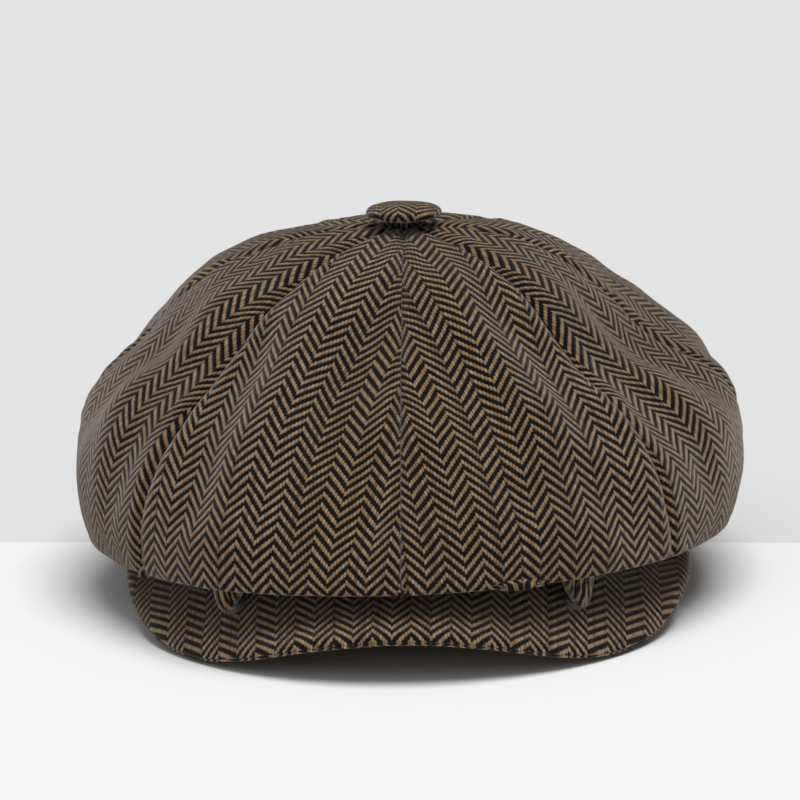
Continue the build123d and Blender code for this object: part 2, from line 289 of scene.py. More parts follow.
# ---- Finishes -----------------------------------------------------------------------------------
@dataclass(frozen=True)
class HerringboneTweed:
    """Two-and-two twill whose slant turns every few ends: light warp, dark weft.

    An end is the width of one warp thread and a pick that of one weft thread. The twill's lines step from
    thread to thread where "smooth" is nought and run straight where it is one.
    """

    end: float = 1.1
    pick: float = 1.16
    ends_in_stripe: int = 7
    twill: int = 4
    smooth: float = 0.62
    meander: float = 2.6
    meander_scale: float = 0.021
    shake: float = 0.5
    shake_scale: float = 0.42
    relief: float = 0.5

    def strayed(self, s: Shader, across: Value, along: Value, place: Any) -> Tuple[Value, Value]:
        """Lets the threads stray from their straight lines.

        Args:
            s: The material's nodes.
            across: Millimetres across the cloth.
            along: Millimetres along it.
            place: Both as a vector.

        Returns:
            The strayed millimetres, across and along.
        """
        noises = []
        for scale, detail in ((self.meander_scale, 1.0), (self.shake_scale, 2.0)):
            inputs = {"Vector": place, "Scale": scale, "Detail": detail}
            noise = s.node("ShaderNodeTexNoise", inputs=inputs)
            noises.append(s.node("ShaderNodeSeparateColor", inputs={0: noise.outputs[1]}))
        broad, fine = noises
        strayed = (
            start
            + (Value(s, broad.outputs[channel]) - 0.5) * self.meander
            + (Value(s, fine.outputs[channel]) - 0.5) * self.shake
            for channel, start in enumerate((across, along))
        )
        return tuple(strayed)

    def made(self) -> bpy.types.Material:
        """Builds the material."""
        s = Shader("herringbone_tweed")
        across, along, place = s.cloth_place()
        across, along = self.strayed(s, across, along, place)
        ends, picks = across / self.end, along / self.pick
        end, pick = ends.floor(), picks.floor()
        stripe = (end / self.ends_in_stripe).floor()
        turned = stripe.wrap(2.0)
        slant = 1.0 - 2.0 * turned
        inside = ends - stripe * self.ends_in_stripe
        stepped = inside.floor() + 0.5 + self.smooth * (inside.fraction() - 0.5)
        rising = picks + slant * stepped
        phase = rising.wrap(self.twill)
        over = self.twill / 2
        warp_up = phase.below(over)

        warp_round = (0.25 + 0.75 * ends.fraction().hump().root()) * (phase / over).hump().root()
        weft_round = (0.35 + 0.65 * picks.fraction().hump().root()) * (phase / over - 1.0).hump().root()
        height = warp_up.choose(0.55 * weft_round, warp_round)

        end_kind, pick_kind = s.random(end, 3.0), s.random(pick, 7.0)
        slub = s.noise(s.vector(end * 3.7, along * 0.11), 1.0, 2.0)
        weft_slub = s.noise(s.vector(across * 0.09, pick * 5.3), 1.0, 2.0)
        warp_colour = s.ramp(
            end_kind * 0.62 + slub * 0.38,
            (
                (0.12, linear(118, 93, 64)),
                (0.38, linear(152, 125, 90)),
                (0.58, linear(170, 146, 112)),
                (0.72, linear(150, 112, 66)),
                (0.9, linear(190, 170, 138)),
            ),
        )
        weft_colour = s.ramp(
            pick_kind * 0.6 + weft_slub * 0.4,
            ((0.15, linear(7, 4, 3)), (0.6, linear(16, 11, 8)), (0.9, linear(32, 23, 17))),
        )
        broad = s.noise(place, 0.012, 3.0)
        fleck = s.noise(place, 1.9, 1.0)
        # The height term paints shade into the dips between threads and over the sunken weft; broad and fleck
        # are the cloth's own uneven tone and flecks.
        shade = (0.08 + 0.95 * height) * (0.8 + 0.4 * broad) * (0.72 + 0.56 * fleck)
        colour = s.tone(s.mix(warp_up, weft_colour, warp_colour), shade)
        fibre = s.noise(place, 5.0, 2.0)
        normal = s.bump(height * 0.85 + fibre * 0.3, self.relief)
        return s.done(
            Base_Color=colour,
            Roughness=0.9,
            Normal=normal,
            Specular_IOR_Level=0.25,
            Sheen_Weight=0.55,
            Sheen_Roughness=0.28,
            Sheen_Tint=(0.93, 0.9, 0.87, 1.0),
        )


@dataclass(frozen=True)
class LiningSatin:
    """Fine warp-faced satin with soft crumples."""

    thread: float = 0.32
    row: float = 0.704
    relief: float = 1.6

    def made(self) -> bpy.types.Material:
        """Builds the material."""
        s = Shader("lining_satin")
        across, along, place = s.cloth_place()
        threads, rows = across / self.thread, along / self.row
        step = (rows.floor() * 3.0 + threads.floor() * 2.0).wrap(5.0).below(0.5)
        weave = threads.fraction().hump().root() * (1.0 - 0.4 * step)
        crumple = s.noise(place, 0.05, 4.0)
        streak = s.noise(s.vector(across * 1.6, along * 0.05), 1.0, 2.0)
        # The crumple share of this mix paints shade into the crumples' hollows, and the weave factor below
        # paints shade between the threads.
        colour = s.mix(streak * 0.7 + crumple * 0.3, linear(30, 24, 21), linear(66, 52, 43))
        return s.done(
            Base_Color=s.tone(colour, 0.75 + 0.35 * weave),
            Roughness=0.34 + 0.2 * streak,
            Normal=s.bump(crumple * 0.8 + weave * 0.08, self.relief),
        )


@dataclass(frozen=True)
class RibbedCotton:
    """Ribbed cotton tape of the sweatband, ribs up and down, with a line of stitches at its foot."""

    rib: float = 0.9
    thread: float = 0.35
    stitch: float = 3.2
    stitch_share: float = 0.72
    stitch_line: float = 3.0
    stitch_half: float = 0.5
    relief: float = 0.35

    def made(self) -> bpy.types.Material:
        """Builds the material."""
        s = Shader("ribbed_cotton")
        across, along, place = s.cloth_place()
        ribs = across / self.rib
        ridge = ribs.fraction().hump().root()
        thread = (along / self.thread + ribs.floor() * 0.5).fraction().hump()
        shade = s.random(ribs.floor(), 2.0)
        wear = s.noise(place, 0.06, 4.0)
        in_line = (along - self.stitch_line).size().below(self.stitch_half)
        stitched = in_line * (across / self.stitch).fraction().below(self.stitch_share)
        cloth = s.mix(wear, linear(24, 20, 18), linear(46, 39, 33))
        # The ridge term paints shade into the grooves between the ribs.
        colour = s.mix(stitched, s.tone(cloth, 0.7 + 0.25 * shade + 0.3 * ridge), linear(122, 104, 80))
        height = ridge * 0.7 + thread * 0.2 + stitched * 0.6
        return s.done(Base_Color=colour, Roughness=0.78 + 0.15 * wear, Normal=s.bump(height, self.relief))


@dataclass(frozen=True)
class StiffSheet:
    """Fibre sheet used for the peak's board and the band's stiffener: speckled, faintly pressed."""

    name: str
    pale: Colour
    dark: Colour
    grain: float = 900.0
    cloud: float = 60.0
    relief: float = 0.12

    def made(self) -> bpy.types.Material:
        """Builds the material."""
        s = Shader(self.name)
        place = s.solid_place()
        speckle = s.noise(place, self.grain, 3.0)
        cloud = s.noise(place, self.cloud, 4.0)
        colour = s.mix(0.6 * speckle + 0.4 * cloud, self.dark, self.pale)
        return s.done(Base_Color=colour, Roughness=0.6 + 0.3 * speckle, Normal=s.bump(speckle, self.relief))


@dataclass(frozen=True)
class PressedMetal:
    """Plated sheet metal with fine rubbing marks and dulled patches."""

    name: str
    plating: Colour
    tarnish: Colour
    polish: float = 0.28
    patch: float = 420.0
    rub: float = 700.0
    rub_stretch: Tuple[float, float, float] = (1.0, 14.0, 3.0)
    relief: float = 0.02

    def made(self) -> bpy.types.Material:
        """Builds the material."""
        s = Shader(self.name)
        place = s.solid_place()
        patches = s.noise(place, self.patch, 4.0)
        inputs = {0: place, 1: self.rub_stretch}
        stretched = s.node("ShaderNodeVectorMath", {"operation": "MULTIPLY"}, inputs).outputs[0]
        rubbing = s.noise(stretched, self.rub, 2.0)
        colour = s.mix(patches * patches, self.plating, self.tarnish)
        roughness = self.polish + 0.25 * patches + 0.12 * rubbing
        normal = s.bump(rubbing, self.relief)
        return s.done(Base_Color=colour, Metallic=1.0, Roughness=roughness, Normal=normal)


@dataclass(frozen=True)
class StudioPaper:
    """Matt paper of the floor, with a faint grain; seen through from beneath."""

    name: str
    colour: Colour
    grain: float = 900.0

    def made(self) -> bpy.types.Material:
        """Builds the material."""
        s = Shader(self.name)
        shade = 0.985 + 0.03 * s.noise(s.solid_place(), self.grain, 2.0)
        made = s.done(Base_Color=s.tone(self.colour, shade), Roughness=0.95, Specular_IOR_Level=0.1)
        beneath = s.node("ShaderNodeNewGeometry").outputs["Backfacing"]
        clear = s.node("ShaderNodeBsdfTransparent").outputs[0]
        both = s.node("ShaderNodeMixShader", inputs={0: beneath, 1: s.surface.outputs[0], 2: clear})
        s.fill(s.tree.nodes["Material Output"], {"Surface": both.outputs[0]})
        return made


# ---- Mesh making --------------------------------------------------------------------------------
def span(node: str) -> Tuple[Array, Array]:
    """Lowest and highest corner of a CAD node, in millimetres."""
    low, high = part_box(node)
    return np.array(low) / MM, np.array(high) / MM


def lengths(points: Array, axis: int) -> Array:
    """Distances from the first point along rows or columns of a grid.

    Args:
        points: Grid of points.
        axis: 0 down the rows, 1 across the columns.

    Returns:
        The running length at each point.
    """
    steps = np.linalg.norm(np.diff(points, axis=axis), axis=2)
    start = np.zeros_like(steps.take([0], axis=axis))
    return np.concatenate([start, np.cumsum(steps, axis=axis)], axis=axis)


def outward(points: Array) -> Array:
    """Unit normals of a grid whose rows go down and whose columns go round towards +X."""
    normal = np.cross(np.gradient(points, axis=0), np.gradient(points, axis=1))
    return normal / np.maximum(np.linalg.norm(normal, axis=2, keepdims=True), 1e-9)


def ease(x: Array) -> Array:
    """Smooth step from nought to one."""
    x = np.clip(x, 0, 1)
    return x * x * (3 - 2 * x)


def even(points: Array, count: int, start: float = 0.0) -> Array:
    """Places points evenly along each column of a grid.

    Args:
        points: Dense grid of points.
        count: Rows wanted.
        start: Length left out at the first end.

    Returns:
        The new grid.
    """
    run = lengths(points, 0)
    made = np.empty((count, points.shape[1], points.shape[2]))
    for column in range(points.shape[1]):
        wanted = np.linspace(start, run[-1, column], count)
        for part in range(points.shape[2]):
            made[:, column, part] = np.interp(wanted, run[:, column], points[:, column, part])
    return made


def knots_curve(values: Sequence[float], at: Array) -> Array:
    """Smooth curve through evenly spaced values.

    Args:
        values: Values at 0, 1, 2 and so on.
        at: Places to read.

    Returns:
        The curve's values.
    """
    known = np.asarray(values, float)
    slopes = np.gradient(known)
    index = np.clip(np.floor(at).astype(int), 0, len(known) - 2)
    t = at - index
    a, b, da, db = known[index], known[index + 1], slopes[index], slopes[index + 1]
    t2, t3 = t * t, t * t * t
    return a * (2 * t3 - 3 * t2 + 1) + da * (t3 - 2 * t2 + t) + b * (3 * t2 - 2 * t3) + db * (t3 - t2)


class Ripples:
    """Low, soft unevenness of handled cloth: a fixed sum of waves."""

    def __init__(self, seed: int, shortest: float, longest: float, waves: int = 14) -> None:
        """Draws the waves.

        Args:
            seed: Seed of the draw.
            shortest: Shortest wave, in millimetres.
            longest: Longest wave, in millimetres.
            waves: How many waves.
        """
        draw = np.random.default_rng(seed)
        heading = draw.normal(size=(waves, 3))
        heading /= np.linalg.norm(heading, axis=1, keepdims=True)
        self.wave = heading * (2 * np.pi / draw.uniform(shortest, longest, (waves, 1)))
        self.phase = draw.uniform(0, 2 * np.pi, waves)

    def at(self, points: Array) -> Array:
        """Height at each point, mostly between -1 and 1."""
        return np.sin(points @ self.wave.T + self.phase).sum(axis=-1) / np.sqrt(len(self.phase))


def cloth_mesh(name: str, points: Array, places: Array, turned: bool = False) -> bpy.types.Object:
    """Makes a mesh from a grid of points.

    Args:
        name: Name of the piece.
        points: Grid in millimetres.
        places: The same grid's places on the flat cloth, in millimetres.
        turned: Whether the faces look the other way.

    Returns:
        The object.
    """
    rows, columns = points.shape[:2]
    index = np.arange(rows * columns).reshape(rows, columns)
    corners = [index[:-1, :-1], index[1:, :-1], index[1:, 1:], index[:-1, 1:]]
    faces = np.stack(corners, axis=-1).reshape(-1, 4)
    faces = faces[:, ::-1] if turned else faces
    mesh = bpy.data.meshes.new(name)
    mesh.from_pydata((points.reshape(-1, 3) * MM).tolist(), [], faces.tolist())
    layer = mesh.uv_layers.new(name="cloth")
    layer.data.foreach_set("uv", (places.reshape(-1, 2)[faces.ravel()] * MM).ravel())
    work = bmesh.new()
    work.from_mesh(mesh)
    bmesh.ops.remove_doubles(work, verts=work.verts, dist=1e-6)
    work.to_mesh(mesh)
    work.free()
    mesh.shade_smooth()
    piece = bpy.data.objects.new(name, mesh)
    bpy.context.scene.collection.objects.link(piece)
    return piece


def thicken(piece: bpy.types.Object, thickness: float) -> None:
    """Gives a sheet its thickness, inwards.

    Args:
        piece: The sheet.
        thickness: Its thickness in millimetres.
    """
    made = piece.modifiers.new("thickness", "SOLIDIFY")
    made.thickness = thickness * MM
    made.offset = -1.0


def dress(piece: bpy.types.Object, finish: bpy.types.Material) -> None:
    """Gives a piece its material.

    Args:
        piece: The piece.
        finish: Its material.
    """
    piece.data.materials.clear()
    piece.data.materials.append(finish)


def declare(piece: bpy.types.Object, points: Array) -> None:
    """Says what cut of cloth a piece is.

    Args:
        piece: The piece.
        points: The grid of one layer of it, in millimetres.
    """
    width = lengths(points, 1)[:, -1].max() * MM
    length = lengths(points, 0)[-1].max() * MM
    cells = np.cross(np.diff(points, axis=0)[:, :-1], np.diff(points, axis=1)[:-1])
    area = float(np.linalg.norm(cells, axis=2).sum()) * MM * MM
    area = min(max(area, 0.3 * width * length), width * length)
    LOG.info("%s: cut %.0f x %.0f mm, %.4f square metres", piece.name, width / MM, length / MM, area)


# ---- Head opening -------------------------------------------------------------------------------
@dataclass
class Opening:
    """The tilted oval that the band, sweatband and lining follow."""

    half_width: float = 86.9
    half_length: float = 105.9
    set_back: float = 8.0
    tilt: float = 10.0
    height: float = 18.39

    def ring(self, turn: Array, grow: Array, rise: Array) -> Array:
        """Points round the oval.

        Args:
            turn: Angle round it from the front, in radians.
            grow: Distance outside the band's outer face.
            rise: Height above the band's lower edge, square to the opening.

        Returns:
            Points in millimetres.
        """
        sin, cos = np.sin(np.radians(self.tilt)), np.cos(np.radians(self.tilt))
        across = (self.half_width + grow) * np.sin(turn)
        back = -(self.half_length + grow) * np.cos(turn)
        y = self.set_back + back * cos + rise * sin
        z = self.height - back * sin + rise * cos
        return np.stack(np.broadcast_arrays(across, y, z), axis=-1)

    def at_azimuth(self, azimuth: Array, grow: float, rise: float) -> Array:
        """Distance from the button's axis and height of the oval at each azimuth.

        Args:
            azimuth: Azimuths in radians.
            grow: Distance outside the band's outer face.
            rise: Height above the band's lower edge.

        Returns:
            Columns of distance and height.
        """
        turn = np.linspace(-np.pi, np.pi, 1441)
        points = self.ring(turn, grow, rise)
        seen = np.unwrap(np.arctan2(points[:, 0], -points[:, 1]))
        wrapped = np.arctan2(np.sin(azimuth), np.cos(azimuth))
        reach = np.interp(wrapped, seen, np.hypot(points[:, 0], points[:, 1]))
        return np.stack([reach, np.interp(wrapped, seen, points[:, 2])], axis=-1)


@dataclass
class HeadBand:
    """Tweed band and the ribbed sweatband inside it."""

    opening: Opening
    tweed: bpy.types.Material
    cotton: bpy.types.Material
    band_height: float = 34.0
    band_thickness: float = 2.0
    sweat_low: float = 1.0
    sweat_high: float = 36.0
    sweat_thickness: float = 1.0
    sweat_inset: float = 3.4
    columns: int = 240
    side_rows: int = 30

    def loop(self, low: float, high: float, thickness: float, inset: float) -> Tuple[Array, Array]:
        """Rounded closed section of a tape, as distance out and height.

        Args:
            low: Lower edge.
            high: Upper edge.
            thickness: Thickness of the tape.
            inset: Its outer face lies this far inside the band's outer face.

        Returns:
            Distances outside the band's face, and heights.
        """
        half = thickness / 2
        side = np.linspace(high - half, low + half, self.side_rows)
        arc = np.linspace(0, -np.pi, 9)[1:-1]
        under_out, under_up = half * np.cos(arc) - half, low + half + half * np.sin(arc)
        over_out, over_up = half * np.cos(arc + np.pi) - half, high - half + half * np.sin(arc + np.pi)
        outer, inner = np.zeros_like(side), np.full_like(side, -thickness)
        out = np.concatenate([outer, under_out, inner, over_out, [0.0]])
        up = np.concatenate([side, under_up, side[::-1], over_up, [side[0]]])
        return out - inset, up

    def tape(
        self, name: str, section: Tuple[Array, Array], ripple: Ripples, sag: float
    ) -> Tuple[bpy.types.Object, Array]:
        """Sweeps a section round the opening.

        Args:
            name: Name of the piece.
            section: Distances out and heights.
            ripple: Its unevenness.
            sag: Size of the unevenness.

        Returns:
            The piece, and the grid of its outer side.
        """
        turn = np.linspace(-np.pi, np.pi, self.columns + 1)
        out, up = (part[:, None] for part in section)
        points = self.opening.ring(turn[None, :], out, up)
        points[..., 2] += sag * ripple.at(points[:1] * np.array([1, 1, 0]))
        points[:, -1] = points[:, 0]
        around = lengths(points, 1)
        along = np.broadcast_to(lengths(points, 0)[:, :1], around.shape)
        return cloth_mesh(name, points, np.stack([around, along], axis=-1)), points[: self.side_rows]

    def build(self) -> List[bpy.types.Object]:
        """Makes both tapes.

        Returns:
            The pieces.
        """
        section = self.loop(0, self.band_height, self.band_thickness, 0)
        band, face = self.tape("tweed_band", section, Ripples(5, 40, 130), 0.25)
        dress(band, self.tweed)
        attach(band, "cap")
        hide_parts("band")
        declare(band, face)
        section = self.loop(self.sweat_low, self.sweat_high, self.sweat_thickness, self.sweat_inset)
        sweat, inside = self.tape("cotton_sweatband", section, Ripples(9, 30, 90), 0.3)
        dress(sweat, self.cotton)
        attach(sweat, "cap")
        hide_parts("sweatband")
        declare(sweat, inside)
        return [band, sweat]


# ---- Crown --------------------------------------------------------------------------------------
@dataclass(frozen=True)
class Fold:
    """One soft fold or hollow in the crown's cloth, between two places on its wall."""

    start: Tuple[float, float]
    end: Tuple[float, float]
    width: float
    height: float


@dataclass(frozen=True)
class Sag:
    """A place where the crown's shoulder hangs in from its full shape.

    The azimuth and how far it spreads are in degrees, the depth in millimetres. "Fall" is the place down the
    gore, from nought under the button to one at the fold, and "reach" is how far it spreads down it.
    """

    azimuth: float
    spread: float
    depth: float
    fall: float
    reach: float


class Quarter(Enum):
    """Panels on one side: name, azimuth of each seam, and whether it is a front gore, left out of the cap's
    body with its placement baked.
    """

    FRONT = ("front", 0.0, 52.0, True)
    SIDE_FRONT = ("side_front", 52.0, 95.0, True)
    SIDE_BACK = ("side_back", 95.0, 137.0, False)
    BACK = ("back", 137.0, 180.0, False)


@dataclass
class Crown:
    """Eight gores that meet under the button, fold under at the lip and turn up to the band.

    A gore's rows run down its wall, round the fold, in under the lip, and up the band. The socket's place and
    slope are those on the wearer's left.
    """

    opening: Opening
    tweed: bpy.types.Material
    half_width: float
    front: float
    back: float
    top: float
    widest: float = 60.0
    tuck: float = 0.006
    front_foot: float = 31.0
    front_bow: float = 1.3
    front_round: float = 0.625
    fold_middle: float = 24.0
    fold_rise: float = 0.0735
    fold_lean: float = 0.02
    fold_turn: float = 5.0
    eye: float = 3.6
    thickness: float = 1.8
    step_out: float = 9.0
    step_rise: float = 12.0
    step_turn: float = 4.0
    collar_rise: float = 24.0
    collar_gap: float = 0.5
    columns: int = 61
    wall_rows: int = 168
    bend_rows: int = 13
    calm_rows: int = 12
    under_share: float = 0.6
    cut_across: float = 37.0
    cut_along: float = 13.0
    lift_start: float = 30.0
    lift_end: float = 113.0
    lift_slope: float = 1.7
    neck_inside: float = 4.9
    neck_fade: float = 3.4
    puff: float = 2.8
    fold_near: float = 60.0
    socket_place: Tuple[float, float, float] = (69.1, -105.1, 22.5)
    socket_slope: Tuple[float, float] = (0.486, -0.49)
    socket_room: float = 0.1
    sags: Sequence[Sag] = (
        Sag(0, np.inf, 2.0, 0.46, 0.19),
        Sag(88, 46, 6.0, 0.46, 0.19),
        Sag(85, 40, 13.0, 0.57, 0.14),
        Sag(-88, 42, 8.0, 0.57, 0.14),
    )
    folds: Sequence[Fold] = (
        Fold((-30, 138), (-33, 62), 13, 3.2),
        Fold((-13, 128), (-15, 74), 9, -2.2),
        Fold((-44, 120), (-40, 60), 9, -2.4),
        Fold((-5, 88), (-7, 52), 8, -2.6),
        Fold((7, 86), (6, 60), 7, -1.6),
        Fold((18, 140), (34, 84), 10, 2.8),
        Fold((30, 134), (45, 76), 8, -2.6),
        Fold((14, 112), (24, 58), 8, -2.0),
        Fold((46, 104), (49, 52), 8, 2.4),
        Fold((60, 138), (72, 84), 11, 3.0),
        Fold((74, 132), (86, 78), 10, -2.6),
        Fold((60, 100), (66, 52), 9, -2.2),
        Fold((-62, 134), (-74, 84), 12, 2.6),
        Fold((-72, 120), (-86, 66), 10, -2.6),
        Fold((-60, 84), (-64, 46), 8, -2.2),
        Fold((110, 128), (118, 70), 13, 2.4),
        Fold((126, 118), (124, 52), 10, -2.4),
        Fold((-104, 122), (-116, 60), 13, -2.4),
        Fold((-126, 130), (-122, 74), 12, 2.2),
        Fold((152, 132), (160, 60), 13, -2.6),
        Fold((168, 120), (172, 58), 11, 2.0),
        Fold((-148, 128), (-156, 64), 12, 2.4),
        Fold((-166, 122), (-170, 54), 11, -2.4),
        Fold((-24, 56), (-40, 44), 9, 1.8),
        Fold((22, 54), (40, 46), 9, 1.8),
    )

    def radius(self, azimuth: Array, height: Array) -> Array:
        """Distance of the wall from the button's axis.

        Args:
            azimuth: Azimuths in radians.
            height: Heights.

        Returns:
            Distances.
        """
        rise = np.clip((height - self.widest) / (self.top - self.widest), 0, 1)
        turned_in = self.tuck * np.maximum(0, self.widest - height) ** 2
        quarter = np.sqrt(np.maximum(0, 1 - rise**2))
        front_rise = np.clip((height - self.front_foot) / (self.top - self.front_foot), 0, 1)
        side = np.maximum(self.half_width * quarter - turned_in, 0.02)
        behind = np.maximum(self.back * quarter - turned_in, 0.02)
        ahead = self.front * np.maximum(0, 1 - front_rise**self.front_bow) ** self.front_round
        centre, length = (behind - ahead) / 2, (behind + ahead) / 2
        a = (np.sin(azimuth) / side) ** 2 + (np.cos(azimuth) / length) ** 2
        b = centre * np.cos(azimuth) / length**2
        c = (centre / length) ** 2 - 1
        return (-b + np.sqrt(np.maximum(0, b * b - a * c))) / a

    def fold_height(self, ahead: Array, across: Any = 0.0) -> Array:
        """Height of the fold's plane at a place in plan."""
        return self.fold_middle + self.fold_rise * ahead + self.fold_lean * across

    def section(self, azimuth: Array) -> Tuple[Array, int, Array]:
        """The cloth's run at each azimuth, from under the button to where it is sewn up the band.

        Args:
            azimuth: Azimuths in radians.

        Returns:
            Rows of distance and height, the row on the fold's plane, and how near each row is to it.
        """
        low = self.fold_height(self.front * np.cos(azimuth))
        for _ in range(6):
            reach = self.radius(azimuth, low)
            low = self.fold_height(reach * np.cos(azimuth), reach * np.sin(azimuth))
        angle = np.linspace(np.pi / 2, 0, 240)[:, None]
        upper = self.widest + (self.top - self.widest) * np.sin(angle) + 0 * azimuth
        lower = self.widest + (low - self.widest) * np.linspace(0, 1, 80)[1:, None]
        heights = np.concatenate([upper, lower])
        wall = np.stack([self.radius(azimuth, heights), heights], axis=-1)
        wall = even(wall, self.wall_rows + 5, self.eye)
        corner = wall[-1]
        step = self.opening.at_azimuth(azimuth, self.step_out, self.step_rise)
        collar = self.opening.at_azimuth(azimuth, self.collar_gap, self.collar_rise)
        inward = (step - corner) / np.linalg.norm(step - corner, axis=1, keepdims=True)
        upward = (collar - step) / np.linalg.norm(collar - step, axis=1, keepdims=True)
        begin, leave = wall[-5], corner + inward * self.fold_turn
        turn_in, turn_up = step - inward * self.step_turn, step + upward * self.step_turn
        t = np.linspace(0, 1, self.bend_rows)[:, None, None]
        half_way = self.bend_rows // 2
        bend = (1 - t) ** 2 * begin + 2 * t * (1 - t) * corner + t * t * leave
        bend[:, :, 1] += (4 * t * (1 - t))[:, :, 0] * (low - bend[half_way, :, 1])
        under = leave + np.linspace(0, 1, 20)[1:, None, None] * (turn_in - leave)
        t_up = np.linspace(0, 1, 9)[1:, None, None]
        rise = (1 - t_up) ** 2 * turn_in + 2 * t_up * (1 - t_up) * step + t_up**2 * turn_up
        stand = turn_up + np.linspace(0, 1, 12)[1:, None, None] * (collar - turn_up)
        rows = np.concatenate([wall[:-5], bend, under, rise, stand])
        share = np.zeros(len(rows))
        share[self.wall_rows : self.wall_rows + self.bend_rows] = (4 * t * (1 - t))[:, 0, 0]
        return rows, self.wall_rows + half_way, share

    def wall_point(self, place: Tuple[float, float]) -> Array:
        """Finds a point of the wall.

        Args:
            place: Azimuth in degrees, and height.

        Returns:
            The point.
        """
        azimuth = np.radians(place[0])
        reach = float(self.radius(azimuth, np.array(place[1], float)))
        return np.array([reach * np.sin(azimuth), -reach * np.cos(azimuth), place[1]])

    def relief(self, points: Array, middle: float, seed: int) -> Array:
        """How far the cloth stands off its plain shape.

        Args:
            points: The panel's grid.
            middle: Azimuth of the panel's middle, in degrees.
            seed: Seed of its small unevenness.

        Returns:
            Distances along the outward normal.
        """
        run, down = lengths(points, 1), lengths(points, 0)
        total = run[:, -1:]
        from_seam = np.minimum(run, total - run)
        share = run / np.maximum(total, 1e-6)
        fall = np.clip(down / down[self.wall_rows], 0, 1)
        body = np.sin(np.pi * fall) ** 0.7 * ease(total / 40)
        shape = self.puff * body * np.sin(np.pi * share) ** 0.8
        turn = np.degrees(np.arctan2(points[..., 0], -points[..., 1]))
        for sag in self.sags:
            around = np.exp(-(((turn - sag.azimuth) / sag.spread) ** 2))
            shape = shape - sag.depth * around * np.exp(-(((fall - sag.fall) / sag.reach) ** 2))
        # The seam's valley, the ridge its allowance makes beside it, and the puckers of its stitches.
        valley = -1.35 * np.exp(-((from_seam / 1.7) ** 2))
        ridge = 0.55 * np.exp(-(((from_seam - 5.5) / 3.0) ** 2)) * ease(total / 30)
        left = np.exp(-(((run - 5) / 5) ** 2)) * np.sin(down / (1.9 + 0.02 * seed) + seed)
        right = np.exp(-(((total - run - 5) / 5) ** 2)) * np.sin(down / 2.15 + 2.0 * seed)
        pucker = 0.28 * (left + right) * np.sin(down / 17 + seed) * ease(total / 30)
        # What handling leaves, broad over the whole crown and small in each gore.
        broad = 1.1 * Ripples(11, 55, 120).at(points) * ease(total / 60)
        small = 0.42 * Ripples(100 + seed, 16, 40).at(points) * ease(total / 30)
        height = shape + valley + ridge + pucker + broad + small
        for fold in self.folds:
            apart = (fold.start[0] + fold.end[0]) / 2 - middle
            if abs((apart + 180) % 360 - 180) > self.fold_near:
                continue
            a, b = self.wall_point(fold.start), self.wall_point(fold.end)
            line = b - a
            place = ((points - a) @ line) / (line @ line)
            off = np.linalg.norm(points - a - np.clip(place, 0, 1)[..., None] * line, axis=2)
            ends = ease((place + 0.25) / 0.5) * ease((1.25 - place) / 0.5)
            slack = np.maximum(off - 4 * np.sin(np.pi * np.clip(place, 0, 1)), 0)
            height = height + 1.35 * fold.height * ends * np.exp(-((slack / fold.width) ** 2))
        return height

    def reach_sockets(self, points: Array, first: int) -> None:
        """Draws the underside down to the press-stud sockets.

        Args:
            points: The panel's grid, changed in place.
            first: Row on the fold's plane.
        """
        rows = np.arange(len(points))[:, None]
        across, back, height = self.socket_place
        for side in (-1, 1):
            x, y = points[..., 0] - side * across, points[..., 1] - back
            face = height - x * side * self.socket_slope[0] - y * self.socket_slope[1] + self.socket_room
            off = np.hypot(x, y) - self.neck_inside
            near = (1 - ease(off / self.neck_fade)) * ease((rows - first) / 4.0)
            points[..., 2] += np.minimum(0, face - points[..., 2]) * near

    def panel(self, quarter: Quarter, side: int, seed: int) -> List[bpy.types.Object]:
        """Makes one gore: its face, and its part under the fold.

        Args:
            quarter: Which gore.
            side: 1 for the wearer's left, -1 for the right.
            seed: Seed of its small unevenness.

        Returns:
            Both pieces.
        """
        stem, start, end, lifts = quarter.value
        # The columns stand closer together beside the seams.
        t = np.linspace(0, 1, self.columns)
        t = 0.45 * t + 0.55 * (0.5 - 0.5 * np.cos(np.pi * t))
        low, high = (start, end) if side > 0 else (-end, -start)
        azimuth = np.radians(low + (high - low) * t)
        rows, fold_row, share = self.section(azimuth)
        reach, height = rows[..., 0], rows[..., 1]
        points = np.stack([reach * np.sin(azimuth), -reach * np.cos(azimuth), height], axis=-1)
        row = np.arange(len(points))
        calm = ease((len(points) - 1 - row) / self.calm_rows)[:, None]
        under = np.where(row > fold_row, self.under_share, 1.0)[:, None]
        off = self.relief(points, (low + high) / 2, seed) * calm * under
        shift = outward(points) * off[..., None]
        shift[..., 2] *= 1 - share[:, None]
        points = points + shift
        self.reach_sockets(points, fold_row)
        run = lengths(points, 1)
        across = run - run[:, -1:] / 2 + self.cut_across * seed
        middle_run = lengths(points, 0)[:, self.columns // 2, None]
        along = np.broadcast_to(middle_run, across.shape) + self.cut_along * seed
        places = np.stack([across, along], axis=-1)

        name = f"{stem}_{'left' if side > 0 else 'right'}"
        face = cloth_mesh(f"tweed_{name}", points[: fold_row + 1], places[: fold_row + 1])
        lip = cloth_mesh(f"lip_{name}", points[fold_row:], places[fold_row:])
        for piece in (face, lip):
            dress(piece, self.tweed)
            if not lifts:
                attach(piece, "cap")
        if lifts:
            self.bend(face, lip)
        for piece in (face, lip):
            thicken(piece, self.thickness)
        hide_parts(f"crown_{name}")
        declare(face, points[: fold_row + 1])
        declare(lip, points[fold_row:])
        return [face, lip]

    def bend(self, face: bpy.types.Object, lip: bpy.types.Object) -> None:
        """Bakes the placement of a front gore's face and of its part under the fold into their meshes.

        Args:
            face: The gore's face.
            lip: Its part under the fold.
        """
        start = Vector((0, -self.lift_start, self.fold_height(self.lift_start))) * MM
        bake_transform(face)
        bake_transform(lip)

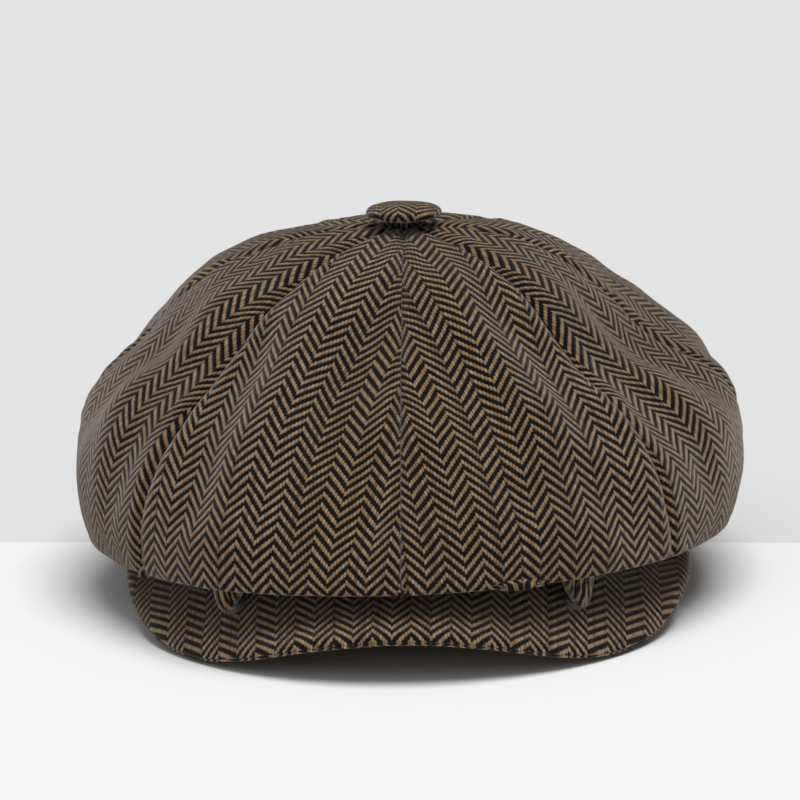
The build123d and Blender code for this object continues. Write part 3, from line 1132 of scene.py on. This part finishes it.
    def build(self) -> List[bpy.types.Object]:
        """Makes all eight gores.

        Returns:
            The pieces.
        """
        made: List[bpy.types.Object] = []
        for seed, (quarter, side) in enumerate((q, s) for q in Quarter for s in (1, -1)):
            made += self.panel(quarter, side, seed + 1)
        return made


# ---- Peak ---------------------------------------------------------------------------------------
@dataclass
class Peak:
    """Bowed peak: tweed above and below, meeting in a seam along the rounded edge.

    "Crests" are the heights of its underside on the middle line and "bows" its radii across it, each a
    step further ahead than the last.
    """

    opening: Opening
    tweed: bpy.types.Material
    reach: float
    half_width: float
    widest_line: float = 40.0
    horn_length: float = 38.0
    thickness: float = 5.0
    edge_round: float = 2.6
    cloth: float = 1.3
    arch_step: float = 26.0
    crests: Sequence[float] = (27.2, 32.0, 37.2, 38.4, 32.1, 21.5, 11.5)
    bows: Sequence[float] = (600, 480, 300, 192, 140, 112, 102)
    band_gap: float = 0.4
    turn: float = 75.0
    weave_shift: float = 4.1
    columns: int = 181
    rows: int = 60

    def underside(self, points: Array) -> Array:
        """Height of the peak's underside.

        Args:
            points: Points in plan.

        Returns:
            The height under or over each.
        """
        ahead = np.clip(-points[..., 1] / self.arch_step, 0, len(self.crests) - 1.001)
        crest = knots_curve(self.crests, ahead)
        bow = knots_curve([1 / r for r in self.bows], ahead)
        return crest - points[..., 0] ** 2 * bow / 2

    def outside(self, x: Array, ahead: Array) -> Array:
        """Finds what lies outside the peak's outline.

        Args:
            x: Distance to the wearer's left.
            ahead: Distance ahead of the button.

        Returns:
            True for each place outside.
        """
        length = np.where(ahead > self.widest_line, self.reach - self.widest_line, self.horn_length)
        return (x / self.half_width) ** 2 + ((ahead - self.widest_line) / length) ** 2 > 1

    def outline(self, azimuth: Array) -> Array:
        """Finds the peak's edge along rays from the opening's centre, by halving.

        Args:
            azimuth: Directions of the rays, in radians.

        Returns:
            Distance of the edge along each.
        """
        low, high = np.full_like(azimuth, 20.0), np.full_like(azimuth, 220.0)
        for _ in range(40):
            middle = (low + high) / 2
            x, ahead = middle * np.sin(azimuth), middle * np.cos(azimuth) - self.opening.set_back
            out = self.outside(x, ahead)
            low, high = np.where(out, low, middle), np.where(out, middle, high)
        return low

    def grids(self) -> Tuple[Array, Array]:
        """Upper and lower covers.

        Returns:
            Two grids of points, from the band to the edge.
        """
        # The columns stand closer together towards the horns.
        turn = np.linspace(-1, 1, self.columns)
        turn = turn * 0.8 + 0.2 * np.sin(turn * np.pi / 2)
        azimuth = np.radians(self.turn * turn)
        width = self.opening.half_width + self.band_gap
        length = (self.opening.half_length + self.band_gap) * np.cos(np.radians(self.opening.tilt))
        band = 1 / np.sqrt((np.sin(azimuth) / width) ** 2 + (np.cos(azimuth) / length) ** 2)
        edge = np.maximum(self.outline(azimuth), band + 1.0)
        turned = np.minimum(self.edge_round, 0.45 * (edge - band))
        flat = np.linspace(0, 1, self.rows)[:, None] ** 0.9
        curve = np.linspace(0, np.pi / 2, 11)[1:, None]
        level = band + (edge - turned - band) * flat
        reach = np.concatenate([level, edge - turned + turned * np.sin(curve)])
        fall = np.concatenate([0 * flat, 1 - np.cos(curve)])
        x, y = reach * np.sin(azimuth), self.opening.set_back - reach * np.cos(azimuth)
        plan = np.stack([x, y, np.zeros_like(x)], axis=-1)
        base = self.underside(plan)
        soft = 0.22 * Ripples(21, 18, 60).at(plan)
        closing = fall * (self.thickness / 2 - 0.05)
        upper, lower = plan.copy(), plan.copy()
        upper[..., 2] = base + self.thickness - closing + soft
        lower[..., 2] = base + closing + soft * 0.6
        return upper, lower

    def build(self) -> List[bpy.types.Object]:
        """Makes both covers.

        Returns:
            The pieces.
        """
        made = []
        upper, lower = self.grids()
        for points, name, node, turned in (
            (upper, "peak_tweed_upper", "peak_upper", False),
            (lower, "peak_tweed_under", "peak_under", True),
        ):
            plan = points * np.array([1, 1, 0])
            fall = lengths(points, 0) - lengths(plan, 0)
            along = fall - points[..., 1]
            along = 2 * along[-1] - along if turned else along
            places = np.stack([points[..., 0] + self.weave_shift, along], axis=-1)
            piece = cloth_mesh(name, points, places, turned)
            dress(piece, self.tweed)
            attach(piece, "peak")
            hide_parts(node)
            thicken(piece, self.cloth)
            declare(piece, points)
            made.append(piece)
        return made


# ---- Lining -------------------------------------------------------------------------------------
@dataclass
class Lining:
    """Four satin gores that stand on the sweatband and close under the crown."""

    opening: Opening
    crown: Crown
    satin: bpy.types.Material
    top: float
    clearance: float = 9.0
    start_rise: float = 36.1
    inset: float = 3.4
    foot: float = 34.0
    thickness: float = 0.5
    shares: Sequence[float] = (0.3, 0.55, 0.78, 0.92, 1.0)
    columns: int = 49
    rows: int = 110

    def knots(self, turn: Array) -> Array:
        """Outline of a gore at each height.

        Args:
            turn: Angles round the opening, in radians.

        Returns:
            Rows of points from the band upwards.
        """
        rings = [self.opening.ring(turn, -self.inset, self.start_rise)]
        base = self.opening.half_length * np.sin(np.radians(self.opening.tilt)) + self.foot
        half_width = self.opening.half_width - self.inset
        half_length = self.opening.half_length - self.inset
        for share in self.shares:
            height = base + (self.top - base) * share
            above = np.array(height + self.clearance)
            side = min(half_width, float(self.crown.radius(np.pi / 2, above)) - self.clearance)
            ahead = min(half_length - 8, float(self.crown.radius(0.0, above)) - self.clearance)
            behind = min(half_length + 8, float(self.crown.radius(np.pi, above)) - self.clearance)
            y = (behind - ahead) / 2 - (behind + ahead) / 2 * np.cos(turn)
            rings.append(np.stack([side * np.sin(turn), y, 0 * turn + height], axis=-1))
        last = rings[-1]
        for share, lift in ((0.5, 1.2), (0.04, 1.6)):
            ring = last * share
            ring[:, 2] = self.top + lift
            rings.append(ring)
        return np.stack(rings)

    def build(self) -> List[bpy.types.Object]:
        """Makes the four gores.

        Returns:
            The pieces.
        """
        made = []
        for name, middle in (("front", 0), ("left", 90), ("back", 180), ("right", 270)):
            turn = np.radians(middle + np.linspace(-45, 45, self.columns))
            knots = self.knots(turn)[::-1]
            at = np.linspace(0, len(knots) - 1.001, 150)
            gores = knots.transpose(1, 0, 2)
            smooth = [[knots_curve(column[:, part], at) for part in range(3)] for column in gores]
            points = even(np.array(smooth).transpose(2, 0, 1), self.rows)
            run = lengths(points, 1)
            from_seam = np.minimum(run, run[:, -1:] - run)
            down = lengths(points, 0)
            left = down[-1:] - down
            seam = -1.2 * np.exp(-((from_seam / 1.5) ** 2))
            loose = 1.3 * ease(down / 30) * ease(left / 12) * (Ripples(31, 25, 70).at(points) - 1.2)
            gather = 0.5 * np.exp(-((left / 16) ** 2)) * np.sin(run / 2.6) * ease(from_seam / 8)
            points = points + outward(points) * (seam + loose + gather)[..., None]
            places = np.stack([run - run[:, -1:] / 2, down], axis=-1)
            piece = cloth_mesh(f"satin_{name}", points, places)
            dress(piece, self.satin)
            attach(piece, "cap")
            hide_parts(f"lining_{name}")
            thicken(piece, self.thickness)
            declare(piece, points)
            made.append(piece)
        return made


# ---- Button -------------------------------------------------------------------------------------
@dataclass
class Button:
    """Tweed disc gathered over a metal shell, on top of the crown."""

    tweed: bpy.types.Material
    radius: float
    low: float
    high: float
    plate: float = 12.9
    rim: float = 2.6
    cloth: float = 0.8
    cut_share: float = 0.9
    columns: int = 120

    def build(self) -> List[bpy.types.Object]:
        """Makes the cover.

        Returns:
            The piece in a list.
        """
        turn = np.linspace(0, 2 * np.pi, self.columns + 1)
        out = np.linspace(0, self.radius - self.rim, 34)
        crown = (self.high - self.low) * 0.3
        dome = self.high - crown * (out / (self.radius - self.rim)) ** 2.2
        angle = np.linspace(np.radians(62), np.radians(-90), 26)[1:]
        middle = (dome[-1] + self.low) / 2
        half = (dome[-1] - self.low) / 2
        rim_out = self.radius - self.rim + self.rim * np.cos(angle)
        rim_up = middle + half * np.sin(angle)
        tuck_out = np.linspace(self.radius - self.rim, self.plate - 0.6, 9)[1:]
        radius = np.concatenate([out, rim_out, tuck_out])[:, None]
        height = np.concatenate([dome, rim_up, 0 * tuck_out + self.low + 0.1])[:, None]
        steps = np.hypot(np.diff(radius[:, 0]), np.diff(height[:, 0]))
        path = np.concatenate([[0], np.cumsum(steps)])[:, None]
        puckers = 0.22 * np.sin(23 * turn) + 0.12 * np.sin(37 * turn + 1)
        gather = ease((path - self.radius - 2) / 6) * puckers
        points = np.stack([radius * np.sin(turn), -radius * np.cos(turn), height + gather], axis=-1)
        soft = 0.16 * Ripples(41, 9, 24).at(points) * ease(path / 6)
        points[..., 2] += soft * (path < self.radius + 2)
        points[:, -1] = points[:, 0]
        places = np.stack([path * np.sin(turn) + 2.0, -path * np.cos(turn)], axis=-1)
        piece = cloth_mesh("button_tweed", points, places)
        dress(piece, self.tweed)
        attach(piece, "cap")
        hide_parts("button_cover")
        thicken(piece, self.cloth)
        return [piece]


# ---- Carried-over nodes -------------------------------------------------------------------------
class Fitting(Enum):
    """CAD nodes kept as they are: the node, and the record's slot that names its finish."""

    STIFFENER = ("band_stiffener", "stiffener")
    BOARD = ("peak_board", "board")
    STUDS = ("snap_studs", "snap_metal")
    SOCKETS = ("snap_sockets", "snap_metal")
    SPRINGS = ("snap_springs", "snap_metal")
    SHELL = ("button_shell", "button_metal")
    PLATE = ("button_back", "button_metal")
    FASTENER = ("button_fastener", "button_metal")


@dataclass
class Fittings:
    """Finishes of the fittings that keep their CAD shape, by slot."""

    finishes: Dict[str, bpy.types.Material]

    def build(self) -> List[bpy.types.Object]:
        """Dresses the nodes.

        Returns:
            The nodes.
        """
        made = []
        for fitting in Fitting:
            node, slot = fitting.value
            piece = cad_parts[node]
            dress(piece, self.finishes[slot])
            made.append(piece)
        return made


# ---- Studio -------------------------------------------------------------------------------------
@dataclass(frozen=True)
class Sun:
    """A far, wide light: where it comes from, its width in degrees and its strength."""

    name: str
    place: Tuple[float, float, float]
    softness: float
    power: float


@dataclass
class Studio:
    """Pale floor in two tones, soft lights and the camera, in metres and degrees."""

    white: Colour = (0.93, 0.93, 0.935)
    grey: Colour = (0.77, 0.77, 0.772)
    sky: Colour = (0.96, 0.98, 1.0)
    sky_strength: float = 0.21
    suns: Sequence[Sun] = (
        Sun("key", (0.22, -0.12, 1.7), 40.0, 2.35),
        Sun("fill", (-0.7, -1.0, 1.2), 60.0, 0.3),
    )
    far: float = 6.0
    overlap: float = 0.6
    step_down: float = 0.0004
    edge: Sequence[Tuple[float, float]] = ((-0.5, 0.0745), (0.5, 0.0275))
    target: Tuple[float, float, float] = (-0.0034, 0.0, 0.0785)
    distance: float = 1.4
    elevation: float = 14.0
    azimuth: float = 2.0
    roll: float = 1.3
    lens: float = 147.6

    def sheet(self, name: str, corners: Sequence[Tuple[float, float]], colour: Colour, height: float) -> None:
        """Lays one sheet of paper.

        Args:
            name: Name of the sheet.
            corners: Its corners in plan, in metres.
            colour: Its colour.
            height: Its height, in metres.
        """
        mesh = bpy.data.meshes.new(name)
        mesh.from_pydata([(x, y, height) for x, y in corners], [], [tuple(range(len(corners)))])
        piece = bpy.data.objects.new(name, mesh)
        bpy.context.scene.collection.objects.link(piece)
        mesh.materials.append(StudioPaper(name, colour).made())

    def floor(self) -> None:
        """Lays the white sheet up to the edge between the tones, and the grey one under it and behind."""
        far = self.far
        (x0, y0), (x1, y1) = self.edge
        slope = (y1 - y0) / (x1 - x0)
        right, left = y1 + slope * (far - x1), y0 - slope * (far + x0)
        self.sheet("floor_front", ((-far, -far), (far, -far), (far, right), (-far, left)), self.white, 0.0)
        near, back = -self.overlap, 2 * far
        corners = ((-far, near), (far, near), (far, back), (-far, back))
        self.sheet("floor_back", corners, self.grey, -self.step_down)

    def light(self, sun: Sun) -> None:
        """Adds one light.

        Args:
            sun: What it is like.
        """
        lamp = bpy.data.lights.new(sun.name, "SUN")
        lamp.angle = np.radians(sun.softness)
        lamp.energy = sun.power
        piece = bpy.data.objects.new(sun.name, lamp)
        piece.rotation_mode = "QUATERNION"
        piece.rotation_quaternion = (-Vector(sun.place)).to_track_quat("-Z", "Y")
        bpy.context.scene.collection.objects.link(piece)

    def camera(self) -> None:
        """Places the camera."""
        lens = bpy.data.cameras.new("camera")
        lens.lens = self.lens
        lens.sensor_width = 36.0
        piece = bpy.data.objects.new("camera", lens)
        up, round_it = np.radians(self.elevation), np.radians(self.azimuth)
        back = Vector((np.sin(round_it) * np.cos(up), -np.cos(round_it) * np.cos(up), np.sin(up)))
        piece.location = Vector(self.target) + back * self.distance
        piece.rotation_mode = "QUATERNION"
        level = (-back).to_track_quat("-Z", "Y")
        piece.rotation_quaternion = level @ Quaternion((0, 0, 1), -np.radians(self.roll))
        bpy.context.scene.collection.objects.link(piece)
        bpy.context.scene.camera = piece

    def build(self) -> None:
        """Sets up the studio."""
        scene = bpy.context.scene
        scene.view_settings.view_transform = "Standard"
        scene.view_settings.look = "None"
        world = bpy.data.worlds.new("studio")
        world.use_nodes = True
        sky = world.node_tree.nodes["Background"]
        sky.inputs["Color"].default_value = (*self.sky, 1.0)
        sky.inputs["Strength"].default_value = self.sky_strength
        scene.world = world
        self.floor()
        for sun in self.suns:
            self.light(sun)
        self.camera()


def main() -> None:
    """Builds the cap piece by piece and reports each."""
    logging.basicConfig(level=logging.INFO, format="%(name)s: %(message)s")
    tweed = HerringboneTweed().made()
    opening = Opening(half_width=float(span("band")[1][0]))
    widest = span("crown_side_front_left")[1]
    front_low, front_high = span("crown_front_left")
    back_high = span("crown_back_left")[1]
    crown = Crown(
        opening=opening,
        tweed=tweed,
        half_width=float(widest[0]),
        front=float(-front_low[1]),
        back=float(back_high[1]),
        top=float(front_high[2]),
    )
    peak_low, peak_high = span("peak_under")
    button_low, button_high = span("button_cover")
    lining_top = float(span("lining_front")[1][2])
    metal = PressedMetal("stud_plating", linear(176, 176, 172), linear(96, 90, 80))
    steel = PressedMetal("button_steel", linear(150, 148, 142), linear(84, 80, 74), 0.36)
    finishes = {
        "stiffener": StiffSheet("stiffener_fibre", linear(206, 198, 180), linear(150, 140, 120)).made(),
        "board": StiffSheet("peak_board_fibre", linear(96, 88, 78), linear(58, 52, 46)).made(),
        "snap_metal": metal.made(),
        "button_metal": steel.made(),
    }
    parts = (
        crown,
        Peak(opening=opening, tweed=tweed, reach=float(-peak_low[1]), half_width=float(peak_high[0])),
        HeadBand(opening=opening, tweed=tweed, cotton=RibbedCotton().made()),
        Lining(opening=opening, crown=crown, satin=LiningSatin().made(), top=lining_top),
        Button(
            tweed=tweed,
            radius=float(button_high[0]),
            low=float(button_low[2]),
            high=float(button_high[2]),
        ),
        Fittings(finishes),
    )
    for part in parts:
        for piece in part.build():
            LOG.info("%s: %d points", piece.name, len(piece.data.vertices))
    Studio().build()


if __name__ == "__main__":
    main()
